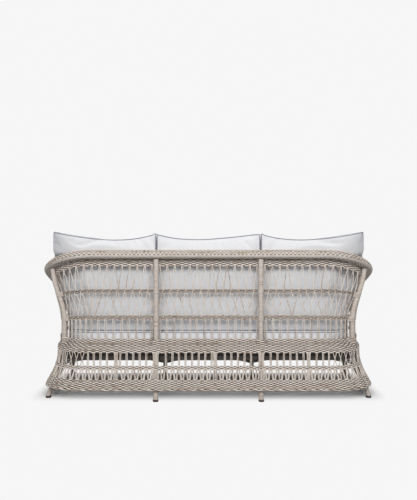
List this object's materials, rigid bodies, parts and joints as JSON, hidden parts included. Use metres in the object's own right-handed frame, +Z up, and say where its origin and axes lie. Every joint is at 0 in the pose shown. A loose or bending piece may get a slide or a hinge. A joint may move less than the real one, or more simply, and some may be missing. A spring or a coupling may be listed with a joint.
{
  "type": "garden sofa",
  "caption": "Wicker garden sofa with rolled rim, sloping arms, open lattice back, flared skirt, splayed legs and loose box cushions.",
  "frame": {"origin": "on the floor, under the centre of the overall box", "axes": "+X to the right along the sofa as seen from the front, +Y from the front to the back, +Z up"},
  "size_m": [2.12, 0.83, 1.012],
  "materials": {
    "wicker": "flat and round synthetic wicker strands, greige with brown streaks",
    "pole_wrap": "flat strand wound closely round the tube",
    "frame_metal": "satin powder coat",
    "seat_webbing": "black woven webbing",
    "foot_plastic": "moulded, dark brown",
    "cushion_cloth": "off-white outdoor cloth with thin grey piping"
  },
  "bodies": {
    "root": {"top_rim_roll": "wicker", "arm_end_cap_left": "wicker", "arm_end_cap_right": "wicker", "collar_band": "wicker", "upper_back_band": "wicker", "middle_band": "wicker", "waist_band": "wicker", "skirt_middle_band": "wicker", "skirt_bottom_band": "wicker", "front_apron": "wicker", "back_net_upper": "wicker", "back_net_middle": "wicker", "arm_net_middle_left": "wicker", "arm_net_middle_right": "wicker", "back_net_lower": "wicker", "arm_net_lower_left": "wicker", "arm_net_lower_right": "wicker", "back_skirt_upper": "wicker", "arm_skirt_upper_left": "wicker", "arm_skirt_upper_right": "wicker", "back_skirt_lower": "wicker", "arm_skirt_lower_left": "wicker", "arm_skirt_lower_right": "wicker", "rear_pole_corner_left": "pole_wrap", "rear_pole_inner_left": "pole_wrap", "rear_pole_inner_right": "pole_wrap", "rear_pole_corner_right": "pole_wrap", "pole_binding_middle_corner_left": "pole_wrap", "pole_binding_middle_inner_left": "pole_wrap", "pole_binding_middle_inner_right": "pole_wrap", "pole_binding_middle_corner_right": "pole_wrap", "pole_binding_upper_corner_left": "pole_wrap", "pole_binding_upper_inner_left": "pole_wrap", "pole_binding_upper_inner_right": "pole_wrap", "pole_binding_upper_corner_right": "pole_wrap", "front_post_left": "pole_wrap", "front_post_right": "pole_wrap", "front_leg_left": "pole_wrap", "front_leg_right": "pole_wrap", "top_rim_tube": "frame_metal", "seat_frame_tube": "frame_metal", "seat_front_rail": "frame_metal", "seat_cross_rail_left": "frame_metal", "seat_cross_rail_middle": "frame_metal", "seat_cross_rail_right": "frame_metal", "seat_deck": "seat_webbing", "foot_cap_rear_corner_left": "foot_plastic", "foot_cap_rear_inner_left": "foot_plastic", "foot_cap_rear_inner_right": "foot_plastic", "foot_cap_rear_corner_right": "foot_plastic", "foot_cap_post_left": "foot_plastic", "foot_cap_post_right": "foot_plastic", "foot_cap_front_left": "foot_plastic", "foot_cap_front_right": "foot_plastic"},
    "seat_left": {"seat_cushion_left": "cushion_cloth"},
    "back_left": {"back_cushion_left": "cushion_cloth"},
    "seat_middle": {"seat_cushion_middle": "cushion_cloth"},
    "back_middle": {"back_cushion_middle": "cushion_cloth"},
    "seat_right": {"seat_cushion_right": "cushion_cloth"},
    "back_right": {"back_cushion_right": "cushion_cloth"}
  },
  "joints": [
    {"name": "seat_pull_left", "type": "slide", "parent": "root", "child": "seat_left", "axis": [0, -1, 0], "range_m": [0, 0.8]},
    {"name": "back_lift_left", "type": "slide", "parent": "root", "child": "back_left", "axis": [0, 0, 1], "range_m": [0, 0.62]},
    {"name": "seat_pull_middle", "type": "slide", "parent": "root", "child": "seat_middle", "axis": [0, -1, 0], "range_m": [0, 0.8]},
    {"name": "back_lift_middle", "type": "slide", "parent": "root", "child": "back_middle", "axis": [0, 0, 1], "range_m": [0, 0.62]},
    {"name": "seat_pull_right", "type": "slide", "parent": "root", "child": "seat_right", "axis": [0, -1, 0], "range_m": [0, 0.8]},
    {"name": "back_lift_right", "type": "slide", "parent": "root", "child": "back_right", "axis": [0, 0, 1], "range_m": [0, 0.62]}
  ]
}
